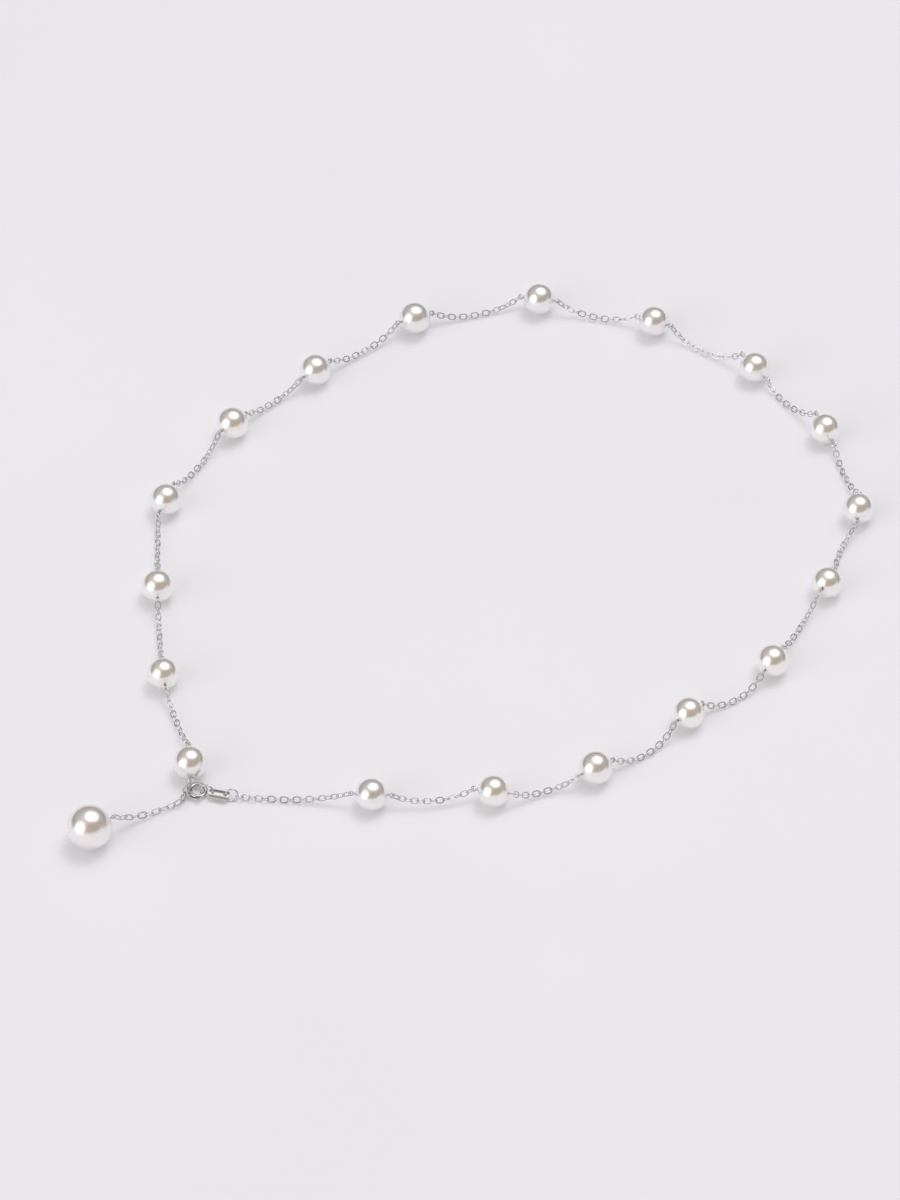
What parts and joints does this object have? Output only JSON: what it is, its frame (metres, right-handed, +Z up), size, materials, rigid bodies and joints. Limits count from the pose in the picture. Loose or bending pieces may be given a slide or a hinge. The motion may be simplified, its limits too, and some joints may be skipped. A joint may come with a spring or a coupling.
{
  "type": "floating pearl necklace",
  "caption": "Necklace of single pearls spaced along a fine cable chain, closed by a spring ring and a small tag, with a short tail chain that ends in a larger pearl.",
  "frame": {"origin": "on the surface that the necklace lies on, below the middle of its whole outline", "axes": "+X to the viewer's right along the outline's length, +Y away from the viewer, +Z up"},
  "size_m": [0.1606, 0.155, 0.0089],
  "materials": {
    "pearl_cream": "glossy nacre",
    "pearl_rose": "glossy nacre",
    "pearl_silver": "glossy nacre",
    "silver": "polished silver"
  },
  "bodies": {
    "necklace": {"pearl_01": "pearl_rose", "pearl_02": "pearl_cream", "pearl_03": "pearl_cream", "pearl_04": "pearl_silver", "pearl_05": "pearl_cream", "pearl_06": "pearl_silver", "pearl_07": "pearl_silver", "pearl_08": "pearl_silver", "pearl_09": "pearl_silver", "pearl_10": "pearl_silver", "pearl_11": "pearl_cream", "pearl_12": "pearl_silver", "pearl_13": "pearl_cream", "pearl_14": "pearl_cream", "pearl_15": "pearl_cream", "pearl_16": "pearl_rose", "pearl_17": "pearl_cream", "pearl_18": "pearl_silver", "pin_01": "silver", "pin_02": "silver", "pin_03": "silver", "pin_04": "silver", "pin_05": "silver", "pin_06": "silver", "pin_07": "silver", "pin_08": "silver", "pin_09": "silver", "pin_10": "silver", "pin_11": "silver", "pin_12": "silver", "pin_13": "silver", "pin_14": "silver", "pin_15": "silver", "pin_16": "silver", "pin_17": "silver", "pin_18": "silver", "drop_pearl": "pearl_rose", "drop_pin": "silver", "chain_left": "silver", "chain_right": "silver", "tail_chain": "silver", "spring_ring": "silver", "clasp_ring": "silver", "hook_ring": "silver", "tag": "silver", "end_ring": "silver"},
    "tongue": {"clasp_tongue": "silver"}
  },
  "joints": [
    {"name": "clasp_slide", "type": "hinge", "parent": "necklace", "child": "tongue", "pos_m": [-0.0554, -0.0607, 0.00098], "axis": [0, 0, -1], "range_deg": [0, 40], "stiffness_Nm_per_rad": 0.003, "springref_deg": -5.73}
  ]
}
